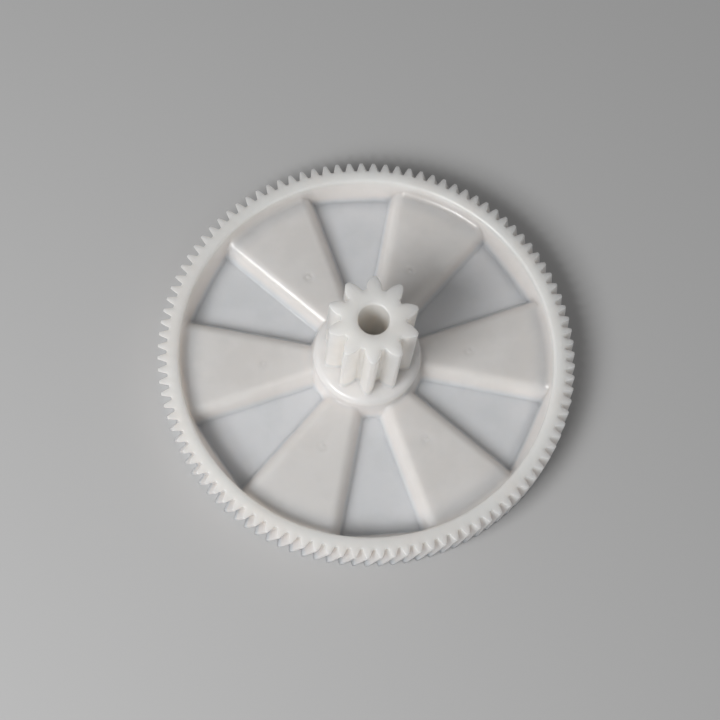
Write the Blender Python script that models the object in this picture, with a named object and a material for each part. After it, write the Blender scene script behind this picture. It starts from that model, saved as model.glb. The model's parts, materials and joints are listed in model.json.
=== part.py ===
import math

import bmesh
import bpy
from mathutils import Matrix, Vector

# All lengths are in metres, all angles in degrees.
# The gear stands on the underside of its rim, on z = 0, with its axis on the Z axis.
# The first raised sector of the web is centred on +X.
MM = 0.001

# Helical ring
RING_TEETH = 103
RING_NORMAL_MODULE = 1.0 * MM
RING_HELIX_ANGLE = 17.5
RING_ADDENDUM = 1.0 * MM
RING_DEDENDUM = 1.35 * MM
RING_FLANK_PLAY = 0.08 * MM
RING_TOOTH_PHASE = -0.44
RING_TIP_ROUND = 0.15 * MM
RING_ROOT_ROUND = 0.35 * MM
RING_HELIX_STEPS = 2
RING_FLANK_POINTS = 2
RIM_HEIGHT = 10.0 * MM
RIM_WALL = 3.15 * MM
RIM_EDGE_ROUND = 0.4 * MM

# Web between rim and boss, with raised and recessed sectors in turn
SECTOR_PAIRS = 6
RAISED_TOP_SPAN = 30.0
WEB_TOP_DROP = 3.4 * MM
WEB_BOTTOM_RISE = 0.3 * MM
WEB_THICKNESS = 1.6 * MM
WEB_WALL_SLOPE = 15.0
WEB_CREST_ROUND = 3.0 * MM
WEB_FOOT_ROUND = 0.8 * MM
WEB_RIM_ROUND = 1.2 * MM
RECESS_END_CHORD = 47.0 * MM
POCKET_END_LAND = 0.3 * MM
POCKET_END_SLOPE = 8.0
POCKET_MIN_FLOOR = 1.2 * MM
POCKET_MIN_ROUND = 0.4 * MM
POCKET_ROUND_STEPS = 3
POCKET_OUTER_STEPS = 6
POCKET_INNER_STEPS = 3

# Boss that carries the pinion
BOSS_LEDGE = 2.6 * MM
BOSS_ABOVE_WEB = 3.6 * MM
BOSS_SHOULDER_ROUND = 1.7 * MM
BOSS_FOOT_ROUND = 0.8 * MM

# Pinion with straight teeth
PINION_TEETH = 10
PINION_MODULE = 1.8 * MM
PINION_SHIFT = 0.85
PINION_ADDENDUM = 2.7 * MM
PINION_DEDENDUM = 0.8 * MM
PINION_TIP_ROUND = 0.15 * MM
PINION_ROOT_ROUND = 0.35 * MM
PINION_ABOVE_RIM = 25.0 * MM
PINION_TOOTH_PHASE = 12.2
PINION_FLANK_POINTS = 4

# Bore for the shaft
BORE_RADIUS = 4.0 * MM
BORE_CHAMFER = 0.5 * MM
BORE_SEGMENTS = 40

PRESSURE_ANGLE = 20.0
TOOTH_CORNER_SHARE = 0.6
ROUND_STEPS = 2
OVERLAP = 1.0 * MM
MERGE_DISTANCE = 0.001 * MM

# Sizes that follow from the ones above
RING_PITCH_RADIUS = RING_TEETH * RING_NORMAL_MODULE / math.cos(math.radians(RING_HELIX_ANGLE)) / 2
RING_TIP_RADIUS = RING_PITCH_RADIUS + RING_ADDENDUM
RING_ROOT_RADIUS = RING_PITCH_RADIUS - RING_DEDENDUM
RING_TURN = math.degrees(RIM_HEIGHT * math.tan(math.radians(RING_HELIX_ANGLE)) / RING_PITCH_RADIUS)
RIM_INNER_RADIUS = RING_ROOT_RADIUS - RIM_WALL
WEB_TOP = RIM_HEIGHT - WEB_TOP_DROP
WEB_BOTTOM = WEB_BOTTOM_RISE
FLOOR_TOP = WEB_BOTTOM + WEB_THICKNESS
RAISED_UNDERSIDE = WEB_TOP - WEB_THICKNESS
PINION_PITCH_RADIUS = PINION_TEETH * PINION_MODULE / 2
PINION_TIP_RADIUS = PINION_PITCH_RADIUS + PINION_ADDENDUM
PINION_ROOT_RADIUS = PINION_PITCH_RADIUS - PINION_DEDENDUM
BOSS_RADIUS = PINION_TIP_RADIUS + BOSS_LEDGE
BOSS_TOP = WEB_TOP + BOSS_ABOVE_WEB
PINION_TOP = RIM_HEIGHT + PINION_ABOVE_RIM


def polar(radius, angle, z=0.0):
    return Vector((radius * math.cos(angle), radius * math.sin(angle), z))


def involute(angle):
    return math.tan(angle) - angle


def flank_angle(radius, base_radius, base_angle):
    # Half of the tooth's angle at a radius. Below the base circle the flank runs straight to the axis.
    if radius <= base_radius:
        return base_angle
    return base_angle - involute(math.acos(base_radius / radius))


def tooth_profile(pitch_radius, thickness, pressure, root_radius, tip_radius, root_round, tip_round, flank_points):
    # One side of a tooth, from its root to its tip, as pairs of radius and half angle.
    base_radius = pitch_radius * math.cos(pressure)
    base_angle = thickness / (2 * pitch_radius) + involute(pressure)
    low = root_radius + root_round
    high = tip_radius - tip_round
    root_angle = flank_angle(root_radius, base_radius, base_angle)
    side = [(root_radius, root_angle + TOOTH_CORNER_SHARE * root_round / root_radius)]
    for step in range(flank_points):
        radius = low + (high - low) * step / (flank_points - 1)
        side.append((radius, flank_angle(radius, base_radius, base_angle)))
    tip_angle = flank_angle(tip_radius, base_radius, base_angle)
    side.append((tip_radius, tip_angle - TOOTH_CORNER_SHARE * tip_round / tip_radius))
    return side


def toothed_face(bm, side, teeth, inner_radius, phase):
    # A flat toothed disc or ring on z = 0: one tooth's piece of it, turned round the axis.
    pitch = 2 * math.pi / teeth
    root_angle = side[0][1]
    outline = [polar(radius, phase - angle) for radius, angle in side]
    outline += [polar(radius, phase + angle) for radius, angle in reversed(side)]
    outline.append(polar(side[0][0], phase + pitch - root_angle))
    if inner_radius > 0:
        outline.append(polar(inner_radius, phase + pitch - root_angle))
        outline.append(polar(inner_radius, phase - root_angle))
    else:
        outline.append(Vector((0.0, 0.0, 0.0)))
    face = bm.faces.new([bm.verts.new(point) for point in outline])
    bmesh.ops.spin(
        bm, geom=[face], cent=(0, 0, 0), axis=(0, 0, 1), angle=2 * math.pi, steps=teeth, use_duplicate=True
    )
    bmesh.ops.delete(bm, geom=[face], context="FACES")
    bmesh.ops.remove_doubles(bm, verts=bm.verts, dist=MERGE_DISTANCE)


def boundary_loop(bm, z):
    return [e for e in bm.edges if e.is_boundary and abs(e.verts[0].co.z - z) < MERGE_DISTANCE]


def draw_in(bm, loop, profile):
    # Carries a round edge loop along a profile of radius and height pairs, and closes it on the axis.
    for radius, z in profile:
        grown = bmesh.ops.extrude_edge_only(bm, edges=loop)["geom"]
        loop = [e for e in grown if isinstance(e, bmesh.types.BMEdge)]
        for vert in {v for e in loop for v in e.verts}:
            flat = Vector((vert.co.x, vert.co.y, 0.0)).normalized()
            vert.co = flat * radius + Vector((0.0, 0.0, z))
    grown = bmesh.ops.extrude_edge_only(bm, edges=loop)["geom"]
    rim = [v for v in grown if isinstance(v, bmesh.types.BMVert)]
    bmesh.ops.pointmerge(bm, verts=rim, merge_co=(0.0, 0.0, profile[-1][1]))


def arc(centre_radius, centre_z, size, start, end):
    # Points of a quarter round in the plane of radius and height.
    points = []
    for step in range(ROUND_STEPS + 1):
        angle = math.radians(start + (end - start) * step / ROUND_STEPS)
        points.append((centre_radius + size * math.cos(angle), centre_z + size * math.sin(angle)))
    return points


def top_profile():
    rim_edge = arc(RIM_INNER_RADIUS + RIM_EDGE_ROUND, RIM_HEIGHT - RIM_EDGE_ROUND, RIM_EDGE_ROUND, 90, 180)
    rim_foot = arc(RIM_INNER_RADIUS - WEB_RIM_ROUND, WEB_TOP + WEB_RIM_ROUND, WEB_RIM_ROUND, 0, -90)
    boss_foot = arc(BOSS_RADIUS + BOSS_FOOT_ROUND, WEB_TOP + BOSS_FOOT_ROUND, BOSS_FOOT_ROUND, 270, 180)
    shoulder = arc(
        BOSS_RADIUS - BOSS_SHOULDER_ROUND, BOSS_TOP - BOSS_SHOULDER_ROUND, BOSS_SHOULDER_ROUND, 0, 90
    )
    return rim_edge[1:] + rim_foot + boss_foot + shoulder


def bottom_profile():
    return [(RIM_INNER_RADIUS, WEB_BOTTOM), (BOSS_RADIUS, WEB_BOTTOM), (BOSS_RADIUS, 0.0)]


def finish_mesh(bm, name):
    bmesh.ops.recalc_face_normals(bm, faces=bm.faces)
    mesh = bpy.data.meshes.new(name)
    bm.to_mesh(mesh)
    bm.free()
    obj = bpy.data.objects.new(name, mesh)
    bpy.context.scene.collection.objects.link(obj)
    return obj


def build_wheel():
    # The toothed ring is a flat toothed ring swept up its helix.
    # Its inside is then left out, and its two inner edges are drawn in to the axis as rim, web and boss.
    normal = math.radians(PRESSURE_ANGLE)
    helix = math.radians(RING_HELIX_ANGLE)
    side = tooth_profile(
        RING_PITCH_RADIUS,
        (math.pi * RING_NORMAL_MODULE / 2 - RING_FLANK_PLAY) / math.cos(helix),
        math.atan(math.tan(normal) / math.cos(helix)),
        RING_ROOT_RADIUS,
        RING_TIP_RADIUS,
        RING_ROOT_ROUND,
        RING_TIP_ROUND,
        RING_FLANK_POINTS,
    )
    inner = RIM_INNER_RADIUS + RIM_EDGE_ROUND
    bm = bmesh.new()
    toothed_face(bm, side, RING_TEETH, inner, math.radians(RING_TOOTH_PHASE - RING_TURN))
    bmesh.ops.spin(
        bm,
        geom=bm.faces[:],
        cent=(0, 0, 0),
        axis=(0, 0, 1),
        dvec=(0, 0, RIM_HEIGHT / RING_HELIX_STEPS),
        angle=math.radians(RING_TURN),
        steps=RING_HELIX_STEPS,
    )
    limit = inner + MERGE_DISTANCE
    inside = [f for f in bm.faces if all(Vector(v.co.xy).length < limit for v in f.verts)]
    bmesh.ops.delete(bm, geom=inside, context="FACES")
    draw_in(bm, boundary_loop(bm, RIM_HEIGHT), top_profile())
    draw_in(bm, boundary_loop(bm, 0.0), bottom_profile())
    return finish_mesh(bm, "gear")


def build_pinion():
    pressure = math.radians(PRESSURE_ANGLE)
    side = tooth_profile(
        PINION_PITCH_RADIUS,
        PINION_MODULE * (math.pi / 2 + 2 * PINION_SHIFT * math.tan(pressure)),
        pressure,
        PINION_ROOT_RADIUS,
        PINION_TIP_RADIUS,
        PINION_ROOT_ROUND,
        PINION_TIP_ROUND,
        PINION_FLANK_POINTS,
    )
    bm = bmesh.new()
    toothed_face(bm, side, PINION_TEETH, 0.0, math.radians(PINION_TOOTH_PHASE))
    foot = BOSS_TOP - OVERLAP
    bmesh.ops.translate(bm, vec=(0, 0, foot), verts=bm.verts)
    grown = bmesh.ops.extrude_face_region(bm, geom=bm.faces[:])["geom"]
    top = [v for v in grown if isinstance(v, bmesh.types.BMVert)]
    bmesh.ops.translate(bm, vec=(0, 0, PINION_TOP - foot), verts=top)
    return finish_mesh(bm, "pinion_form")


def wall_profile(depth, mouth_round, floor_round):
    # A pocket's sloped side: round at the mouth, straight, round at the floor.
    # Each point holds the inset, the depth and the part of the inset that the floor's round adds.
    slope = math.radians(WEB_WALL_SLOPE)
    bend = math.pi / 2 - slope
    mouth_reach = mouth_round * math.tan(bend / 2)
    floor_reach = floor_round * math.tan(bend / 2)
    run = depth * math.tan(slope)
    points = [(-mouth_reach, -OVERLAP, 0.0)]
    for step in range(POCKET_ROUND_STEPS + 1):
        angle = bend * step / POCKET_ROUND_STEPS
        points.append((mouth_round * math.sin(angle) - mouth_reach, mouth_round * (1 - math.cos(angle)), 0.0))
    for step in range(POCKET_ROUND_STEPS + 1):
        angle = bend * (1 - step / POCKET_ROUND_STEPS)
        deep = depth - floor_round * (1 - math.cos(angle))
        inset = run + floor_reach - floor_round * math.sin(angle)
        points.append((inset, deep, inset - deep * math.tan(slope)))
    return points


def add_pocket(bm, centre, form):
    # One sector-shaped cutter, lofted from the mouth to the floor.
    # Its straight sides keep their distance from two radial lines, and widen moves them outward.
    # Its outer end is round at the mouth. Where the form has a chord, it grows straight towards the floor.
    half_span, widen = form["half_span"], form["widen"]
    profile = wall_profile(abs(form["floor"] - form["mouth"]), form["mouth_round"], form["floor_round"])
    height = profile[-1][1] + OVERLAP
    draft = height * math.tan(math.radians(POCKET_END_SLOPE))
    outer_mouth = RIM_INNER_RADIUS - POCKET_END_LAND
    outer_floor = form["chord"] if form["chord"] else outer_mouth - draft
    narrow = (profile[-1][0] - widen + POCKET_MIN_FLOOR / 2) / math.sin(half_span)
    inner_mouth = max(BOSS_RADIUS + POCKET_END_LAND, narrow - draft - profile[-1][2])
    way = 1 if form["floor"] > form["mouth"] else -1
    turn = Matrix.Rotation(centre, 3, "Z")
    loops = []
    for inset, deep, corner in profile:
        share = (deep + OVERLAP) / height
        outer = outer_mouth + (outer_floor - outer_mouth) * share - corner
        inner = inner_mouth + draft * share + corner
        straight = share if form["chord"] else 0.0
        points = []
        for radius, flat, steps, sign in ((outer, straight, POCKET_OUTER_STEPS, 1), (inner, 0.0, POCKET_INNER_STEPS, -1)):
            reach = half_span - math.asin((inset - widen) / radius)
            for step in range(steps + 1):
                angle = sign * reach * (2 * step / steps - 1)
                bulge = 1 + flat * (1 / math.cos(angle) - 1)
                points.append(polar(radius * bulge, angle, form["mouth"] + way * deep))
        verts = [bm.verts.new(turn @ point) for point in points]
        loops.append([bm.edges.new((a, b)) for a, b in zip(verts, verts[1:] + verts[:1])])
    for above, below in zip(loops, loops[1:]):
        bmesh.ops.bridge_loops(bm, edges=above + below)
    for end in (loops[0], loops[-1]):
        bmesh.ops.edgeloop_fill(bm, edges=end)


def build_pockets(name, first_centre, form):
    bm = bmesh.new()
    for index in range(SECTOR_PAIRS):
        add_pocket(bm, first_centre + 2 * math.pi * index / SECTOR_PAIRS, form)
    return finish_mesh(bm, name)


def build_bore():
    wide = BORE_RADIUS + BORE_CHAMFER + OVERLAP
    profile = [
        (0.0, -OVERLAP),
        (wide, -OVERLAP),
        (BORE_RADIUS, BORE_CHAMFER),
        (BORE_RADIUS, PINION_TOP - BORE_CHAMFER),
        (wide, PINION_TOP + OVERLAP),
        (0.0, PINION_TOP + OVERLAP),
    ]
    bm = bmesh.new()
    verts = [bm.verts.new((radius, 0.0, z)) for radius, z in profile]
    edges = [bm.edges.new(pair) for pair in zip(verts, verts[1:])]
    bmesh.ops.spin(
        bm, geom=edges, cent=(0, 0, 0), axis=(0, 0, 1), angle=2 * math.pi, steps=BORE_SEGMENTS, use_merge=True
    )
    bmesh.ops.remove_doubles(bm, verts=bm.verts, dist=MERGE_DISTANCE)
    return finish_mesh(bm, "bore_form")


def combine(obj, other, operation):
    other.hide_render = True
    other.display_type = "WIRE"
    modifier = obj.modifiers.new(other.name, "BOOLEAN")
    modifier.object = other
    modifier.operation = operation
    modifier.solver = "EXACT"


def acetal_material():
    # White moulded acetal: warm white, a little glossy.
    material = bpy.data.materials.new("white_acetal")
    material.use_nodes = True
    shader = material.node_tree.nodes["Principled BSDF"]
    shader.inputs["Base Color"].default_value = (0.82, 0.80, 0.78, 1.0)
    shader.inputs["Roughness"].default_value = 0.35
    shader.inputs["Metallic"].default_value = 0.0
    return material


def main():
    for obj in list(bpy.data.objects):
        bpy.data.objects.remove(obj, do_unlink=True)
    sector = 2 * math.pi / SECTOR_PAIRS
    raised = math.radians(RAISED_TOP_SPAN)
    slope = math.radians(WEB_WALL_SLOPE)
    recess = {
        "half_span": (sector - raised) / 2,
        "widen": 0.0,
        "mouth": WEB_TOP,
        "floor": FLOOR_TOP,
        "mouth_round": WEB_CREST_ROUND,
        "floor_round": WEB_FOOT_ROUND,
        "chord": RECESS_END_CHORD,
    }
    # The pockets below the raised sectors have walls and rounds parallel to those above, one web thickness away.
    hollow = {
        "half_span": raised / 2,
        "widen": (WEB_TOP - WEB_BOTTOM) * math.tan(slope) - WEB_THICKNESS / math.cos(slope),
        "mouth": WEB_BOTTOM,
        "floor": RAISED_UNDERSIDE,
        "mouth_round": WEB_FOOT_ROUND + WEB_THICKNESS,
        "floor_round": max(WEB_CREST_ROUND - WEB_THICKNESS, POCKET_MIN_ROUND),
        "chord": None,
    }
    gear = build_wheel()
    combine(gear, build_pockets("recesses", sector / 2, recess), "DIFFERENCE")
    combine(gear, build_pockets("hollows", 0.0, hollow), "DIFFERENCE")
    combine(gear, build_pinion(), "UNION")
    combine(gear, build_bore(), "DIFFERENCE")
    gear.data.materials.append(acetal_material())
    gear.data.shade_smooth()
    gear.data.set_sharp_from_angle(angle=math.radians(30.0))


main()
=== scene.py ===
import json
import math

import bmesh
import bpy
from mathutils import Matrix, Vector

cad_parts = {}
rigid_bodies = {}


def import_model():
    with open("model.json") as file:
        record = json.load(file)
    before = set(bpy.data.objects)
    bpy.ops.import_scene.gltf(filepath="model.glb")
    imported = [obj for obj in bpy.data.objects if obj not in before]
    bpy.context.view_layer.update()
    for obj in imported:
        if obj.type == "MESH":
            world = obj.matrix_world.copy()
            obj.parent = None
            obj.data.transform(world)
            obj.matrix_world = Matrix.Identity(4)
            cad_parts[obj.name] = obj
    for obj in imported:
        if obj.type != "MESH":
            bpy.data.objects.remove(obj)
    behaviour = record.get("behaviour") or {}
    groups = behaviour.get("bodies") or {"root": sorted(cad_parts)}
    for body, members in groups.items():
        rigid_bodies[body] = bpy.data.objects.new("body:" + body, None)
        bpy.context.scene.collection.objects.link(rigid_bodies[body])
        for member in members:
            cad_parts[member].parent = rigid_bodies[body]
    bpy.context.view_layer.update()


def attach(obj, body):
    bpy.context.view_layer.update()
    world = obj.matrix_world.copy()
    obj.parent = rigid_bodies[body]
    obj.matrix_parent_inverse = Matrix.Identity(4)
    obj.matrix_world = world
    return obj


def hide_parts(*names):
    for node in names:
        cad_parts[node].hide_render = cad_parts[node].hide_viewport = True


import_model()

mm = 0.001  # sizes below are in millimetres unless a note says otherwise


# camera: seen from above and a little to the front, like the photograph

view = {
    "place": (-36.70, -138.82, 412.14),
    "aim": (-2.20, -1.96, 10.0),
    "roll": 9.84,  # degrees, to the left
    "lens": 81.13,
    "sensor": 36.0,
    "clip": (0.01, 20.0),  # metres
}


def addCamera():
    data = bpy.data.cameras.new("photoView")
    data.sensor_width = view["sensor"]
    data.lens = view["lens"]
    data.clip_start, data.clip_end = view["clip"]
    camera = bpy.data.objects.new("photoView", data)
    bpy.context.scene.collection.objects.link(camera)
    place = Vector(view["place"]) * mm
    look = Vector(view["aim"]) * mm - place
    turn = look.to_track_quat("-Z", "Y").to_matrix().to_4x4()
    camera.matrix_world = Matrix.Translation(place) @ turn @ Matrix.Rotation(math.radians(view["roll"]), 4, "Z")
    bpy.context.scene.camera = camera


addCamera()
print("camera set")


# tooth shapes, for the ring and for the pinion

pressure = math.radians(20.0)
landShare = 1.1  # tip rounds that a soft corner takes from the land on a tooth's tip


def involute(angle):
    return math.tan(angle) - angle


def flankAngle(tooth, radius):
    # half of the tooth's angle at a radius; below the base circle the flank runs straight to the axis
    base = tooth["pitchRadius"] * math.cos(tooth["pressure"])
    atBase = tooth["thickness"] / (2 * tooth["pitchRadius"]) + involute(tooth["pressure"])
    if radius <= base:
        return atBase
    return atBase - involute(math.acos(base / radius))


def halfTooth(tooth):
    # from the middle of the tip to the middle of the gap, as points with the tooth's middle on +X
    tip, root = tooth["tipRadius"], tooth["rootRadius"]
    low = root + tooth["rootRound"]
    high = tip - tooth["tipRound"]
    atTip = flankAngle(tooth, tip)
    landEnd = (tip, atTip - landShare * tooth["tipRound"] / tip)
    flankTop = (high, flankAngle(tooth, high))
    polar = [(tip, landEnd[1] * step / tooth["tipSteps"]) for step in range(tooth["tipSteps"])]
    for step in range(tooth["cornerSteps"] + 1):
        # a soft corner between the tip land and the flank
        t = step / tooth["cornerSteps"]
        weights = ((1 - t) ** 2, 2 * t * (1 - t), t * t)
        corner = (landEnd, (tip, atTip), flankTop)
        polar.append(tuple(sum(w * p[i] for w, p in zip(weights, corner)) for i in range(2)))
    for step in range(1, tooth["flankSteps"]):
        radius = high + (low - high) * step / tooth["flankSteps"]
        polar.append((radius, flankAngle(tooth, radius)))
    points = [Vector((r * math.cos(a), r * math.sin(a))) for r, a in polar]
    # the gap's round corner, tangent to the flank and to the root circle
    foot = flankAngle(tooth, low)
    turn = foot + math.asin(tooth["rootRound"] / low)
    centre = Vector((math.cos(turn), math.sin(turn))) * low
    for step in range(tooth["rootSteps"] + 1):
        angle = (foot - math.pi / 2) + (turn - math.pi / 2 - foot) * step / tooth["rootSteps"]
        points.append(centre + tooth["rootRound"] * Vector((math.cos(angle), math.sin(angle))))
    points.append(Vector((math.cos(math.pi / tooth["teeth"]), math.sin(math.pi / tooth["teeth"]))) * root)
    return points


# ring: helical teeth of module 1 mm, measured square to the teeth
ringTeeth = 103
ringHelix = math.radians(17.5)
ringPlay = 0.08
ringTooth = {
    "teeth": ringTeeth,
    "pitchRadius": ringTeeth / math.cos(ringHelix) / 2,
    "pressure": math.atan(math.tan(pressure) / math.cos(ringHelix)),
    "thickness": (math.pi / 2 - ringPlay) / math.cos(ringHelix),
    "tipRadius": 55.0,
    "rootRadius": 52.65,
    "tipRound": 0.16,
    "rootRound": 0.3,
    "tipSteps": 1,
    "cornerSteps": 2,
    "flankSteps": 3,
    "rootSteps": 3,
    "middle": -0.44,  # degrees, of a tooth on the top face
    "height": 10.0,
    "helixSteps": 5,
    "edge": 0.14,
    "flatRadius": 52.1,  # where the teeth's ends give way to the rim's flat
    "splitRadius": 52.4,  # tells the teeth's open loops from the rim's
    "merge": 0.002,
}

# pinion: straight teeth, with the profile shifted far outwards as so few teeth need it
pinionTeeth = 10
pinionModule = 1.8
pinionShift = 0.85
pinionTooth = {
    "teeth": pinionTeeth,
    "pitchRadius": pinionTeeth * pinionModule / 2,
    "pressure": pressure,
    "thickness": pinionModule * (math.pi / 2 + 2 * pinionShift * math.tan(pressure)),
    "tipRadius": 11.7,
    "rootRadius": 8.2,
    "tipRound": 0.18,
    "rootRound": 0.5,
    "tipSteps": 2,
    "cornerSteps": 3,
    "flankSteps": 5,
    "rootSteps": 4,
    "middle": 12.2,  # degrees, of its first tooth
    "firstColumn": 10,  # of the body's columns, on the middle of the first tooth
    "top": 35.0,
    "edge": 0.3,
    "foot": 0.45,
    "footLand": 0.02,
    "rows": (29.0, 23.0, 17.0),
}

columns = 300  # around the body: 30 for each pinion tooth, 50 for each raised and recessed pair


# web: six raised and six recessed sectors, folded from one wall

web = {
    "pairs": 6,
    "top": 6.6,
    "bottom": 0.3,
    "depth": 4.7,
    "wallSlope": math.radians(24.0),
    "wallThickness": 1.6,
    "crestRound": 3.0,
    "footRound": 0.6,
    "cornerBlend": 1.6,
    "rimRadius": 49.5,
    "rimRound": 2.2,
    "bossRadius": 14.3,
    "bossRound": 0.8,
    "arcSteps": 6,
    # columns on each side of the sloped wall: the top has 7 + 1 and 3, the underside 4 and 7, for 26 with the wall's 15
    "raisedSteps": 6,
    "recessSteps": 3,
    "hollowSteps": 4,
    "landSteps": 7,
    # radii of rows, besides the close ones at the ends of the pockets
    "topRows": (17.0, 18.5, 20.5, 23.0, 31.5, 34.0, 37.0, 40.0, 43.0, 45.0),
    "underRows": (46.0, 44.0, 40.0, 35.0, 30.0, 25.0, 21.0, 18.0),
}
quarter = math.pi / web["pairs"] / 2  # half of a sector's angle
bend = math.pi / 2 - web["wallSlope"]
wallRun = web["depth"] * math.tan(web["wallSlope"])
# the pockets below have walls parallel to those above, one wall thickness away
underShift = (web["top"] - web["bottom"]) * math.tan(web["wallSlope"])
underShift -= web["wallThickness"] / math.cos(web["wallSlope"])


def pocketForm(mouthRound, floorRound):
    # rounds of a pocket's sloped wall, with the insets at which the wall starts and ends
    return {
        "mouthRound": mouthRound,
        "floorRound": floorRound,
        "start": -mouthRound * math.tan(bend / 2),
        "end": wallRun + floorRound * math.tan(bend / 2),
    }


recess = pocketForm(web["crestRound"], web["footRound"])
hollow = pocketForm(web["footRound"] + web["wallThickness"], web["crestRound"] - web["wallThickness"])

# ends of the pockets as lines of radius and height; the recess ends in a straight chord at its floor
recessEnd = {"mouth": 49.2, "mouthHeight": 7.6, "chord": 47.0}
recessStart = {"mouth": 14.3, "mouthHeight": 7.4, "floor": 15.4}
hollowEnds = {"inner": 14.6, "outer": 49.2, "draft": 0.8, "overlap": 1.0}

# small round gate marks, one on each raised sector
gateMark = {"radius": 27.4, "dimple": 1.9, "depth": 0.26, "nub": 0.8, "rise": 0.34}
gateReach = gateMark["dimple"] * 1.2  # rows and columns lie closer this far around a mark


def wallDrop(form, inset):
    # depth below the mouth at a distance in from the mouth's edge: round crest, straight wall, round foot
    crest, foot = form["mouthRound"], form["floorRound"]
    if inset <= form["start"]:
        return 0.0
    if inset < form["start"] + crest * math.sin(bend):
        return crest - math.sqrt(crest**2 - (inset - form["start"]) ** 2)
    if inset < form["end"] - foot * math.sin(bend):
        return inset / math.tan(web["wallSlope"])
    if inset < form["end"]:
        return web["depth"] - foot + math.sqrt(foot**2 - (form["end"] - inset) ** 2)
    return web["depth"]


def insetForDrop(form, drop):
    # the inset that gives a straight end wall's depth, so that ends and sides can meet in a soft corner
    crest = form["mouthRound"]
    if drop <= 0:
        return form["start"] + drop
    if drop < crest * (1 - math.cos(bend)):
        return form["start"] + math.sqrt(crest**2 - (crest - drop) ** 2)
    return drop * math.tan(web["wallSlope"])


def softMin(a, b):
    overlap = max(web["cornerBlend"] - abs(a - b), 0.0)
    return min(a, b) - overlap**2 / web["cornerBlend"] / 4


def pocketDrop(form, side, startDrop, endDrop):
    inset = softMin(softMin(side, insetForDrop(form, startDrop)), insetForDrop(form, endDrop))
    return wallDrop(form, inset)


def fillet(distance, size):
    # rise of a round between the web and an upright wall, at a distance from that wall
    reach = min(max(size - distance, 0.0), size)
    return size - math.sqrt(size**2 - reach**2)


def recessShare(radius, angle):
    # 0 on a raised sector, 1 in a recess, with a soft change over the wall's round crest
    share = 1 - radius * math.sin(abs(angle) - quarter) / recess["start"]
    share = min(max(share, 0.0), 1.0)
    return share * share * (3 - 2 * share)


def recessStartDrop(radius):
    fall = recessStart["mouthHeight"] - web["top"] + web["depth"]
    share = (radius - recessStart["mouth"]) / (recessStart["floor"] - recessStart["mouth"])
    return share * fall - recessStart["mouthHeight"] + web["top"]


def recessEndDrop(radius, angle):
    fall = recessEnd["mouthHeight"] - web["top"] + web["depth"]
    floorRadius = recessEnd["chord"]
    if radius < recessEnd["mouth"]:
        floorRadius /= math.cos(min(2 * quarter - abs(angle), quarter))
    share = (recessEnd["mouth"] - radius) / (recessEnd["mouth"] - floorRadius)
    return share * fall - recessEnd["mouthHeight"] + web["top"]


def topHeight(radius, angle):
    startDrop, endDrop = recessStartDrop(radius), recessEndDrop(radius, angle)
    height = web["top"] - pocketDrop(recess, radius * math.sin(abs(angle) - quarter), startDrop, endDrop)
    # beside the rim and the boss a raised sector has a fillet, and a recess its leaning end wall
    share = recessShare(radius, angle)
    height += (1 - share) * fillet(web["rimRadius"] - radius, web["rimRound"]) + share * max(-endDrop, 0.0)
    height += (1 - share) * fillet(radius - web["bossRadius"], web["bossRound"]) + share * max(-startDrop, 0.0)
    away = math.hypot(radius * math.cos(angle) - gateMark["radius"], radius * math.sin(angle))
    if away < gateMark["dimple"]:
        height -= gateMark["depth"] * (1 - (away / gateMark["dimple"]) ** 2) ** 2
    if away < gateMark["nub"]:
        height += gateMark["rise"] * (1 - (away / gateMark["nub"]) ** 2) ** 2
    return height


def underHeight(radius, angle):
    fall = (hollowEnds["overlap"] + web["depth"]) / hollowEnds["draft"]
    startDrop = (radius - hollowEnds["inner"]) * fall - hollowEnds["overlap"]
    endDrop = (hollowEnds["outer"] - radius) * fall - hollowEnds["overlap"]
    side = underShift - radius * math.sin(abs(angle) - quarter)
    return web["bottom"] + pocketDrop(hollow, side, startDrop, endDrop)


def wallInsets(form):
    # insets that show the wall's rounds well: crest, middle of the wall, foot
    steps = web["arcSteps"]
    crest = [form["start"] + form["mouthRound"] * math.sin(bend * i / steps) for i in range(steps + 1)]
    foot = [form["end"] - form["floorRound"] * math.sin(bend * (1 - i / steps)) for i in range(steps + 1)]
    return crest + [(crest[-1] + foot[0]) / 2] + foot


def halfColumns(radius, under):
    # angles from the middle of a raised sector to the middle of a recess, crowded on the sloped wall
    if under:
        walls = [quarter + math.asin((underShift - inset) / radius) for inset in reversed(wallInsets(hollow))]
        before = [walls[0] * i / web["hollowSteps"] for i in range(web["hollowSteps"])]
        steps = web["landSteps"]
    else:
        walls = [quarter + math.asin(inset / radius) for inset in wallInsets(recess)]
        before = [gateReach * i / web["raisedSteps"] / gateMark["radius"] for i in range(web["raisedSteps"] + 1)]
        before.append((before[-1] + walls[0]) / 2)
        steps = web["recessSteps"]
    after = [walls[-1] + (2 * quarter - walls[-1]) * i / steps for i in range(1, steps + 1)]
    return before + walls + after


def columnAngle(column, half):
    # a column's angle in the full turn and from the middle of its raised sector; both sides of that are alike
    perPair = columns // web["pairs"]
    pair, inside = divmod(column + perPair // 2, perPair)
    inside -= perPair // 2
    local = math.copysign(half[abs(inside)], inside)
    return 4 * quarter * pair + local, local


# body: turned from one profile, then shaped into sectors and pinion teeth row by row

hub = {
    "bossTop": 10.2,
    "shoulder": 1.9,
    "shoulderSteps": 9,
    "shoulderLand": 0.03,
    "bossFoot": 0.25,  # from the top of the boss's foot round to the next row
    "bore": 4.0,
    "boreRound": 0.5,
    "boreSteps": 5,
    "boreRows": (9.0, 18.0, 27.0),
    "undersideRows": (10.0, 7.0),
    "endRow": 5.6,  # on the pinion's end, between its outline and the bore
}

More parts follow.
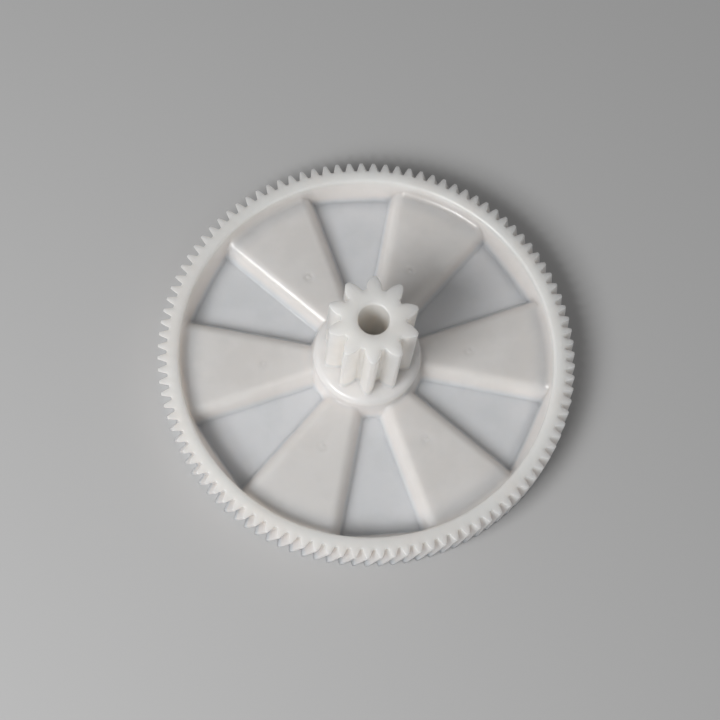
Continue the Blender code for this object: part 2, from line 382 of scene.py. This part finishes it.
rim = {
    "edge": 0.8,
    "edgeSteps": 6,
    "lean": 172,  # degrees at which the edge's round starts, so the wall leans a little outwards
    "underRound": 0.14,
    "underSteps": 3,
    "rows": 21,
    "rowStep": 0.16,
}

# rows that crowd at the ends of the pockets; of two that come closer than the gap, one is left out
pocketRows = {"under": 15, "top": 16, "step": 0.12, "underGap": 0.015, "topGap": 0.07}


def arcPoints(centre, size, start, end, steps):
    angles = [math.radians(start + (end - start) * i / steps) for i in range(steps + 1)]
    return [(centre[0] + size * math.cos(a), centre[1] + size * math.sin(a)) for a in angles]


def spread(values, gap):
    kept = []
    for value in sorted(values):
        if not kept or value - kept[-1] > gap:
            kept.append(value)
    return kept


def bodyRows():
    # every row: what its columns follow, radius, height, and an amount that the shaping uses
    wall, boss = web["rimRadius"], web["bossRadius"]
    rows = []
    # underside, from the rim inwards
    low, steps, close = rim["underRound"], rim["underSteps"], pocketRows["step"]
    turns = [math.pi / 2 * i / steps for i in range(steps + 1)]
    rows += [("under", r, z, 0) for r, z in arcPoints((wall + low, low), low, 270, 180, steps)]
    radii = [wall - low + low * math.cos(a) for a in turns] + [boss + low - low * math.cos(a) for a in turns]
    for i in range(pocketRows["under"]):
        radii += [hollowEnds["outer"] - close * i, hollowEnds["inner"] + close * i]
    radii += web["underRows"]
    rows += [("underWeb", r, 0, 0) for r in reversed(spread(radii, pocketRows["underGap"]))]
    rows += [("under", r, z, 0) for r, z in arcPoints((boss - low, low), low, 0, -90, steps)]
    outer, inner = hub["undersideRows"]
    rows += [("under", outer, 0, 0), ("even", inner, 0, 0)]
    # bore, from its lower mouth to the pinion's end
    top, size, steps = pinionTooth["top"], hub["boreRound"], hub["boreSteps"]
    mouth = hub["bore"] + size
    rows += [("even", r, z, 0) for r, z in arcPoints((mouth, size), size, 270, 180, steps)]
    rows += [("even", hub["bore"], z, 0) for z in hub["boreRows"]]
    rows += [("even", r, z, 0) for r, z in arcPoints((mouth, top - size), size, 180, 90, steps)]
    rows += [("even", hub["endRow"], top, 0)]
    # pinion, as insets from its outline
    edge, foot, bossTop = pinionTooth["edge"], pinionTooth["foot"], hub["bossTop"]
    for turn in (0, math.pi / 6, math.pi / 3):
        rows.append(("pinion", 0, top - edge + edge * math.cos(turn), edge - edge * math.sin(turn)))
    rows += [("pinion", 0, z, 0) for z in (top - edge, *pinionTooth["rows"], bossTop + foot)]
    for turn in (math.pi / 6, math.pi / 3):
        rows.append(("pinion", 0, bossTop + foot - foot * math.sin(turn), foot * math.cos(turn) - foot))
    rows += [("pinion", 0, bossTop, pinionTooth["footLand"] - foot)]
    # boss shoulder, turning from the pinion's columns to the web's
    size, steps = hub["shoulder"], hub["shoulderSteps"]
    for index, (radius, height) in enumerate(arcPoints((boss - size, bossTop - size), size, 90, 0, steps)):
        share = index / steps
        rows.append(("shoulder", radius + hub["shoulderLand"] * (1 - share), height, share))
    rows += [("top", boss, web["top"] + web["bossRound"] + hub["bossFoot"], 0)]
    # web, from the boss outwards
    steps = web["raisedSteps"]
    radii = [boss + close * i for i in range(pocketRows["top"])]
    radii += [wall - rim["rowStep"] * i for i in range(rim["rows"])]
    radii += [gateMark["radius"] + gateReach * i / steps for i in range(-steps, steps + 1)]
    radii += web["topRows"]
    rows += [("topWeb", r, 0, 0) for r in spread(radii, pocketRows["topGap"])]
    # the rim's wall, up to its rounded inner edge
    edge = rim["edge"]
    rimTop = arcPoints((wall + edge, ringTooth["height"] - edge), edge, rim["lean"], 90, rim["edgeSteps"])
    rows += [("top", r, z, 0) for r, z in rimTop]
    return rows


def pinionColumn(column):
    # outline point of the pinion for a column, before any inset
    perTooth = columns // pinionTooth["teeth"]
    tooth, inside = divmod(column - pinionTooth["firstColumn"], perTooth)
    point = pinionHalf[min(inside, perTooth - inside)].copy()
    angle = math.radians(pinionTooth["middle"]) + 2 * math.pi * tooth / pinionTooth["teeth"]
    if inside > perTooth // 2:
        point.y = -point.y
        angle += 2 * math.pi / pinionTooth["teeth"]
    point.rotate(Matrix.Rotation(angle, 2))
    return point


def shapeBody(bm, rows, marks):
    evenStep = 2 * math.pi / columns
    outline = [pinionColumn(column) for column in range(columns)]
    inward = []
    for column in range(columns):
        along = (outline[(column + 1) % columns] - outline[column - 1]).normalized()
        inward.append(Vector((-along.y, along.x)))
    halves = {}
    for vert in bm.verts:
        follows, radius, height, amount = rows[vert[marks]]
        column = round(math.atan2(vert.co.y, vert.co.x) / evenStep) % columns
        if follows == "pinion":
            flat = outline[column] + inward[column] * amount
            vert.co = Vector((flat.x, flat.y, height))
            continue
        angle = column * evenStep
        if follows != "even":
            key = (round(radius, 4), follows.startswith("under"))
            if key not in halves:
                halves[key] = halfColumns(radius, key[1])
            angle, local = columnAngle(column, halves[key])
            if follows == "topWeb":
                height = topHeight(radius, local)
            if follows == "underWeb":
                height = underHeight(radius, local)
                height -= fillet(web["rimRadius"] - radius, rim["underRound"])
                height -= fillet(radius - web["bossRadius"], rim["underRound"])
            if follows == "shoulder":
                other = math.atan2(outline[column].y, outline[column].x)
                apart = (angle - other + math.pi) % (2 * math.pi) - math.pi
                angle = other + apart * amount
        vert.co = Vector((radius * math.cos(angle), radius * math.sin(angle), height))


def buildBody(bm):
    rows = bodyRows()
    marks = bm.verts.layers.int.new("row")
    chain = []
    for index in range(len(rows)):
        vert = bm.verts.new((10.0, 0.0, index))
        vert[marks] = index
        chain.append(vert)
    edges = [bm.edges.new(pair) for pair in zip(chain, chain[1:])]
    bmesh.ops.spin(
        bm, geom=chain + edges, cent=(0, 0, 0), axis=(0, 0, 1), angle=2 * math.pi, steps=columns, use_merge=True
    )
    shapeBody(bm, rows, marks)
    print("body:", len(rows), "rows,", len(bm.verts), "points")


def buildRing(bm):
    # one tooth, mirrored and turned round the axis, then swept up its helix
    turn = ringTooth["height"] * math.tan(ringHelix) / ringTooth["pitchRadius"]
    side = halfTooth(ringTooth)
    verts = [bm.verts.new((p.x, p.y, 0.0)) for p in side]
    edges = [bm.edges.new(pair) for pair in zip(verts, verts[1:])]
    mirrored = bmesh.ops.mirror(bm, geom=verts + edges, matrix=Matrix.Identity(4), merge_dist=-1.0, axis="Y")["geom"]
    tooth = verts + edges + mirrored
    toothVerts = [v for v in tooth if isinstance(v, bmesh.types.BMVert)]
    first = math.radians(ringTooth["middle"]) - turn
    bmesh.ops.rotate(bm, verts=toothVerts, cent=(0, 0, 0), matrix=Matrix.Rotation(first, 3, "Z"))
    bmesh.ops.spin(
        bm, geom=tooth, cent=(0, 0, 0), axis=(0, 0, 1), angle=2 * math.pi, steps=ringTooth["teeth"], use_duplicate=True
    )
    bmesh.ops.delete(bm, geom=toothVerts, context="VERTS")
    loose = [v for v in bm.verts if not v.link_faces]
    bmesh.ops.remove_doubles(bm, verts=loose, dist=ringTooth["merge"])
    outline = [e for e in bm.edges if not e.link_faces]
    loose = [v for v in bm.verts if not v.link_faces]
    edge = ringTooth["edge"]
    share = 1 - 2 * edge / ringTooth["height"]
    bmesh.ops.translate(bm, verts=loose, vec=(0, 0, edge))
    bmesh.ops.rotate(bm, verts=loose, cent=(0, 0, 0), matrix=Matrix.Rotation(turn * (1 - share) / 2, 3, "Z"))
    bmesh.ops.spin(
        bm,
        geom=outline + loose,
        cent=(0, 0, 0),
        axis=(0, 0, 1),
        dvec=(0, 0, ringTooth["height"] * share / ringTooth["helixSteps"]),
        angle=turn * share,
        steps=ringTooth["helixSteps"],
    )
    print("ring:", len(outline), "edges round")


def openLoop(bm, height, inside, outside):
    # open edges at a height, between two radii
    found = []
    for edge in bm.edges:
        middle = (edge.verts[0].co + edge.verts[1].co) / 2
        if edge.is_boundary and abs(middle.z - height) < 0.01 and inside < middle.xy.length < outside:
            found.append(edge)
    return found


def closeRim(bm, height, way):
    # a soft break on the teeth's edges, then the flat ring between the teeth and the rim's rounded inner edge
    edge, split = ringTooth["edge"], ringTooth["splitRadius"]
    loop = openLoop(bm, height - way * edge, split, ringTooth["tipRadius"] + 1)
    border = {}
    for vert in {v for e in loop for v in e.verts}:
        across = sum((f.normal for f in vert.link_faces), Vector())
        border[vert] = (vert.co.copy(), Vector((across.x, across.y, 0.0)).normalized())
    tip = max(border, key=lambda v: v.co.xy.length)
    inward = -1 if border[tip][1].dot(tip.co) > 0 else 1
    for angle in (math.pi / 6, math.pi / 3, math.pi / 2, None):
        grown = bmesh.ops.extrude_edge_only(bm, edges=loop)["geom"]
        loop = [e for e in grown if isinstance(e, bmesh.types.BMEdge)]
        following = {}
        for vert in [v for v in grown if isinstance(v, bmesh.types.BMVert)]:
            before = next(e.other_vert(vert) for e in vert.link_edges if e.other_vert(vert) in border)
            following[vert] = border[before]
        border = following
        for vert, (start, across) in border.items():
            if angle is None:
                flat = start.xy.normalized() * ringTooth["flatRadius"]
                vert.co = (flat.x, flat.y, height)
            else:
                inset = edge * (1 - math.cos(angle))
                rise = edge * math.sin(angle)
                vert.co = start + inward * across * inset + Vector((0.0, 0.0, way * rise))
    bmesh.ops.bridge_loops(bm, edges=openLoop(bm, height, web["rimRadius"] - 0.5, split))


pinionHalf = halfTooth(pinionTooth)
print("pinion half tooth:", len(pinionHalf), "points")
gearMesh = bmesh.new()
buildBody(gearMesh)
buildRing(gearMesh)
bmesh.ops.recalc_face_normals(gearMesh, faces=gearMesh.faces)
closeRim(gearMesh, 0.0, -1)
closeRim(gearMesh, ringTooth["height"], 1)
bmesh.ops.recalc_face_normals(gearMesh, faces=gearMesh.faces)
bmesh.ops.scale(gearMesh, verts=gearMesh.verts, vec=(mm, mm, mm))
print("open edges:", sum(1 for e in gearMesh.edges if not e.is_manifold), "faces:", len(gearMesh.faces))
gearData = bpy.data.meshes.new("mouldedGear")
gearMesh.to_mesh(gearData)
gearMesh.free()
gearData.shade_smooth()
gear = bpy.data.objects.new("mouldedGear", gearData)
bpy.context.scene.collection.objects.link(gear)
# large faces set the normals, so the flats beside small rounds look flat
evenNormals = gear.modifiers.new("evenNormals", "WEIGHTED_NORMAL")
evenNormals.weight = 60
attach(gear, "root")
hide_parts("gear")


# materials

def linear(text):
    # sRGB hex to linear colour
    parts = [int(text[i:i + 2], 16) / 255 for i in (1, 3, 5)]
    return tuple(p / 12.92 if p <= 0.04045 else ((p + 0.055) / 1.055) ** 2.4 for p in parts) + (1.0,)


def addNode(tree, kind, settings=None, values=None, links=None):
    node = tree.nodes.new(kind)
    for name, value in (settings or {}).items():
        setattr(node, name, value)
    for name, value in (values or {}).items():
        node.inputs[name].default_value = value
    for name, source in (links or {}).items():
        tree.links.new(source, node.inputs[name])
    return node


# natural white acetal (POM), injection moulded: waxy and translucent, satin to soft gloss
acetal = {
    "shadedFloor": "#E4E5E7",  # recess floors: painted shade, greyer and darker than the rest
    "web": "#F5ECE6",
    "litThick": "#FDF5ED",  # rim and pinion: painted light, whiter than the web
    # boss: painted shade, greyer and cooler than the rim and pinion
    "boss": "#E5E4E3",
    "heightShade": ((0.18, "shadedFloor"), (0.45, "web"), (0.72, "web"), (0.95, "litThick")),  # shares of the rim's height; lower is painted darker, higher is painted lighter
    "bossEdge": (13.6, 16.5),
    "bossUpTo": (10.3, 13.0),
    "cloud": "#F7F8F8",  # faint clouds of uneven cooling, multiplied in
    "cloudSize": 13.0,
    "cloudShare": (0.42, 0.68),
    "ior": 1.48,
    "roughness": (0.28, 0.36),
    "polishSize": 6.0,
    "polishShare": (0.35, 0.65),
    "coat": 0.4,
    "coatRoughness": 0.14,
    "peelSize": 2.2,  # soft waviness of the mould's surface, drawn coarser than it is so that it shows
    "peelHeight": 0.004,
    "webReach": 4.5,
    "rimReach": 10.0,
    "rimEdge": (43.0, 49.0),
    "hubReach": 14.0,
    "hubEdge": (9.0, 15.0),
    "tint": (1.0, 0.95, 0.9),  # red goes furthest, which warms the thick parts
}


def mouldedAcetal():
    material = bpy.data.materials.new("mouldedAcetal")
    material.use_nodes = True
    tree = material.node_tree
    shader = tree.nodes["Principled BSDF"]
    shader.inputs["IOR"].default_value = acetal["ior"]
    # light goes some millimetres into the plastic, so grooves stay bright and edges look soft
    shader.inputs["Subsurface Weight"].default_value = 1.0
    shader.inputs["Subsurface Radius"].default_value = acetal["tint"]
    place = addNode(tree, "ShaderNodeTexCoord").outputs["Object"]
    parts = addNode(tree, "ShaderNodeSeparateXYZ", links={"Vector": place})
    height = parts.outputs["Z"]
    flat = addNode(tree, "ShaderNodeCombineXYZ", links={"X": parts.outputs["X"], "Y": parts.outputs["Y"]})
    away = addNode(tree, "ShaderNodeVectorMath", {"operation": "LENGTH"}, links={0: flat.outputs["Vector"]})
    radius = away.outputs["Value"]
    soft = {"interpolation_type": "SMOOTHSTEP"}
    # it goes further in the toothed rim and the pinion than in the folded web, which would look dull
    start, end = acetal["rimEdge"]
    outwards = addNode(
        tree,
        "ShaderNodeMapRange",
        soft,
        {
            "From Min": start * mm,
            "From Max": end * mm,
            "To Min": acetal["webReach"] * mm,
            "To Max": acetal["rimReach"] * mm,
        },
        {"Value": radius},
    )
    start, end = acetal["hubEdge"]
    reach = addNode(
        tree,
        "ShaderNodeMapRange",
        soft,
        {"From Min": start * mm, "From Max": end * mm, "To Max": acetal["hubReach"] * mm},
        {"Value": height, "To Min": outwards.outputs["Result"]},
    )
    tree.links.new(reach.outputs["Result"], shader.inputs["Subsurface Scale"])
    # painted shade and light by height: recess floors greyer and darker, then the web, then rim and pinion whiter,
    # standing in for the light that the thin floors lose and the thick parts carry
    level = addNode(
        tree, "ShaderNodeMapRange", values={"From Max": ringTooth["height"] * mm}, links={"Value": height}
    )
    base = addNode(tree, "ShaderNodeValToRGB", links={"Fac": level.outputs["Result"]})
    ramp = base.color_ramp
    ramp.interpolation = "EASE"
    while len(ramp.elements) < len(acetal["heightShade"]):
        ramp.elements.new(0.5)
    for element, (position, name) in zip(ramp.elements, acetal["heightShade"]):
        element.position = position
        element.color = linear(acetal[name])
    # painted shade: the boss and the foot of the pinion are mixed towards a greyer, cooler colour
    start, end = acetal["bossEdge"]
    nearAxis = addNode(
        tree,
        "ShaderNodeMapRange",
        soft,
        {"From Min": start * mm, "From Max": end * mm, "To Min": 1.0, "To Max": 0.0},
        {"Value": radius},
    )
    start, end = acetal["bossUpTo"]
    low = addNode(
        tree,
        "ShaderNodeMapRange",
        soft,
        {"From Min": start * mm, "From Max": end * mm, "To Min": 1.0, "To Max": 0.0},
        {"Value": height},
    )
    bossShade = addNode(
        tree,
        "ShaderNodeMath",
        {"operation": "MULTIPLY"},
        links={0: nearAxis.outputs["Result"], 1: low.outputs["Result"]},
    )
    bossShadeMix = addNode(
        tree,
        "ShaderNodeMix",
        {"data_type": "RGBA"},
        {7: linear(acetal["boss"])},
        {0: bossShade.outputs["Value"], 6: base.outputs["Color"]},
    )
    cooling = addNode(
        tree,
        "ShaderNodeTexNoise",
        values={"Scale": 1 / (acetal["cloudSize"] * mm), "Detail": 3.0},
        links={"Vector": place},
    )
    start, end = acetal["cloudShare"]
    clouds = addNode(
        tree, "ShaderNodeMapRange", soft, {"From Min": start, "From Max": end}, {"Value": cooling.outputs["Fac"]}
    )
    cloudMix = addNode(
        tree,
        "ShaderNodeMix",
        {"data_type": "RGBA", "blend_type": "MULTIPLY"},
        {7: linear(acetal["cloud"])},
        {0: clouds.outputs["Result"], 6: bossShadeMix.outputs[2]},
    )
    tree.links.new(cloudMix.outputs[2], shader.inputs["Base Color"])
    # polish varies a little over the mould, so highlights are uneven
    patches = addNode(
        tree,
        "ShaderNodeTexNoise",
        values={"Scale": 1 / (acetal["polishSize"] * mm), "Detail": 2.0},
        links={"Vector": place},
    )
    start, end = acetal["polishShare"]
    polished, satin = acetal["roughness"]
    polish = addNode(
        tree,
        "ShaderNodeMapRange",
        soft,
        {"From Min": start, "From Max": end, "To Min": polished, "To Max": satin},
        {"Value": patches.outputs["Fac"]},
    )
    tree.links.new(polish.outputs["Result"], shader.inputs["Roughness"])
    # the skin that cooled against the polished mould is glossier than the waxy plastic under it
    shader.inputs["Coat Weight"].default_value = acetal["coat"]
    shader.inputs["Coat Roughness"].default_value = acetal["coatRoughness"]
    shader.inputs["Coat IOR"].default_value = acetal["ior"]
    waves = addNode(
        tree,
        "ShaderNodeTexNoise",
        values={"Scale": 1 / (acetal["peelSize"] * mm), "Detail": 1.0},
        links={"Vector": place},
    )
    peel = addNode(
        tree, "ShaderNodeBump", values={"Distance": acetal["peelHeight"] * mm}, links={"Height": waves.outputs["Fac"]}
    )
    tree.links.new(peel.outputs["Normal"], shader.inputs["Coat Normal"])
    print("material:", material.name, len(tree.nodes), "nodes")
    return material


gear.data.materials.append(mouldedAcetal())


# floor and light

floor = {
    "size": 6000.0,
    "height": -0.05,
    "colour": "#BEBEBE",
    "far": "#F6F6F6",
    "fade": (300.0, 1400.0),
    "roughness": 0.8,
}

# azimuth and elevation in degrees, as seen from the gear; size and distance in metres, power in watts
lamps = {
    "windowLeft": {"size": (0.3, 0.3), "power": 3.3, "azimuth": 216.0, "elevation": 44.0, "distance": 0.7},
    "stripFront": {"size": (0.1, 0.03), "power": 0.35, "azimuth": 237.0, "elevation": 50.0, "distance": 0.8},
    "stripRight": {"size": (0.1, 0.05), "power": 0.15, "azimuth": 300.0, "elevation": 55.0, "distance": 0.8},
}

room = {"colour": "#FFFFFF", "strength": 0.22}


def addFloor():
    bm = bmesh.new()
    bmesh.ops.create_grid(bm, x_segments=1, y_segments=1, size=floor["size"] / 2 * mm)
    bmesh.ops.translate(bm, verts=bm.verts, vec=(0, 0, floor["height"] * mm))
    data = bpy.data.meshes.new("floor")
    bm.to_mesh(data)
    bm.free()
    plane = bpy.data.objects.new("floor", data)
    bpy.context.scene.collection.objects.link(plane)
    material = bpy.data.materials.new("mattFloor")
    material.use_nodes = True
    tree = material.node_tree
    shader = tree.nodes["Principled BSDF"]
    shader.inputs["Roughness"].default_value = floor["roughness"]
    # paler far away, where the lamps don't reach, so the floor runs into the room without a horizon
    place = addNode(tree, "ShaderNodeTexCoord").outputs["Object"]
    away = addNode(tree, "ShaderNodeVectorMath", {"operation": "LENGTH"}, links={0: place})
    start, end = floor["fade"]
    fade = addNode(
        tree,
        "ShaderNodeMapRange",
        {"interpolation_type": "SMOOTHSTEP"},
        {"From Min": start * mm, "From Max": end * mm},
        {"Value": away.outputs["Value"]},
    )
    paper = addNode(
        tree,
        "ShaderNodeMix",
        {"data_type": "RGBA"},
        {6: linear(floor["colour"]), 7: linear(floor["far"])},
        {0: fade.outputs["Result"]},
    )
    tree.links.new(paper.outputs[2], shader.inputs["Base Color"])
    data.materials.append(material)


def addLamp(name, lamp):
    data = bpy.data.lights.new(name, "AREA")
    data.shape = "RECTANGLE"
    data.size, data.size_y = lamp["size"]
    data.energy = lamp["power"]
    source = bpy.data.objects.new(name, data)
    bpy.context.scene.collection.objects.link(source)
    a, e = math.radians(lamp["azimuth"]), math.radians(lamp["elevation"])
    place = Vector((math.cos(a) * math.cos(e), math.sin(a) * math.cos(e), math.sin(e))) * lamp["distance"]
    source.matrix_world = Matrix.Translation(place) @ (-place).to_track_quat("-Z", "Y").to_matrix().to_4x4()


def addRoom():
    world = bpy.data.worlds.new("softRoom")
    bpy.context.scene.world = world
    world.use_nodes = True
    background = world.node_tree.nodes["Background"]
    background.inputs["Color"].default_value = linear(room["colour"])
    background.inputs["Strength"].default_value = room["strength"]


addFloor()
for lampName, lampValues in lamps.items():
    addLamp(lampName, lampValues)
addRoom()
bpy.context.scene.view_settings.view_transform = "Standard"
print("floor, lamps and room set")
